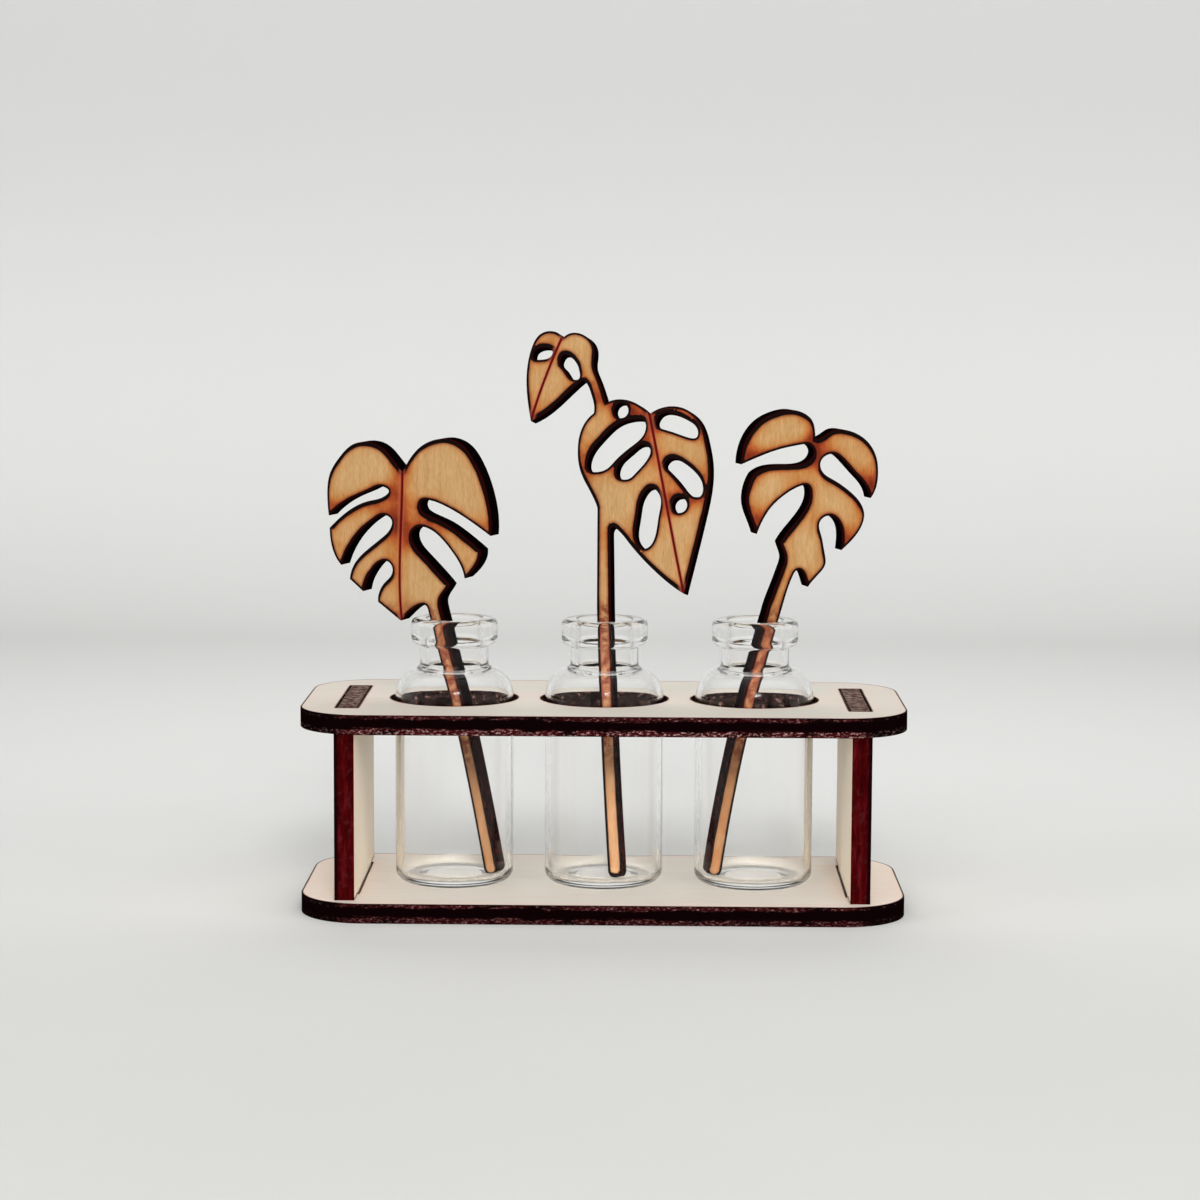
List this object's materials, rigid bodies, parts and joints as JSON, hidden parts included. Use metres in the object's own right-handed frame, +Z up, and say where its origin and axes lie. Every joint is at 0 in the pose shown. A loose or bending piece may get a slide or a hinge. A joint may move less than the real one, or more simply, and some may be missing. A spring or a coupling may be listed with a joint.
{
  "type": "bud vase",
  "caption": "Desk bud vase: a slotted plywood stand with rounded plates holds small glass vials, each with a flat laser-cut wooden leaf on a stem; vials lift out and leaves pull out.",
  "frame": {"origin": "middle of the underside of the base plate", "axes": "+X along the stand to the right as seen from the front, +Y towards the back, +Z up"},
  "size_m": [0.0926, 0.039, 0.0883],
  "materials": {
    "stand_ply": "raw birch plywood, laser-cut edges charred dark brown",
    "vial_glass": "clear gloss",
    "leaf_ply": "golden tan plywood, laser-cut edges charred black"
  },
  "bodies": {
    "stand": {"base_plate": "stand_ply", "top_plate": "stand_ply", "left_end": "stand_ply", "right_end": "stand_ply"},
    "left_vial": {"vial_left": "vial_glass"},
    "middle_vial": {"vial_middle": "vial_glass"},
    "right_vial": {"vial_right": "vial_glass"},
    "left_leaf": {"leaf_left": "leaf_ply"},
    "middle_leaf": {"leaf_middle": "leaf_ply"},
    "right_leaf": {"leaf_right": "leaf_ply"}
  },
  "joints": [
    {"name": "left_vial_lift", "type": "slide", "parent": "stand", "child": "left_vial", "axis": [0, 0, 1], "range_m": [0, 0.03]},
    {"name": "middle_vial_lift", "type": "slide", "parent": "stand", "child": "middle_vial", "axis": [0, 0, 1], "range_m": [0, 0.03]},
    {"name": "right_vial_lift", "type": "slide", "parent": "stand", "child": "right_vial", "axis": [0, 0, 1], "range_m": [0, 0.018]},
    {"name": "left_leaf_pull", "type": "slide", "parent": "left_vial", "child": "left_leaf", "axis": [-0.2131, 0.0642, 0.9749], "range_m": [0, 0.043]},
    {"name": "middle_leaf_pull", "type": "slide", "parent": "middle_vial", "child": "middle_leaf", "axis": [-0.0496, 0.1983, 0.9789], "range_m": [0, 0.043]},
    {"name": "right_leaf_pull", "type": "slide", "parent": "right_vial", "child": "right_leaf", "axis": [0.2117, 0.0547, 0.9758], "range_m": [0, 0.043]}
  ]
}
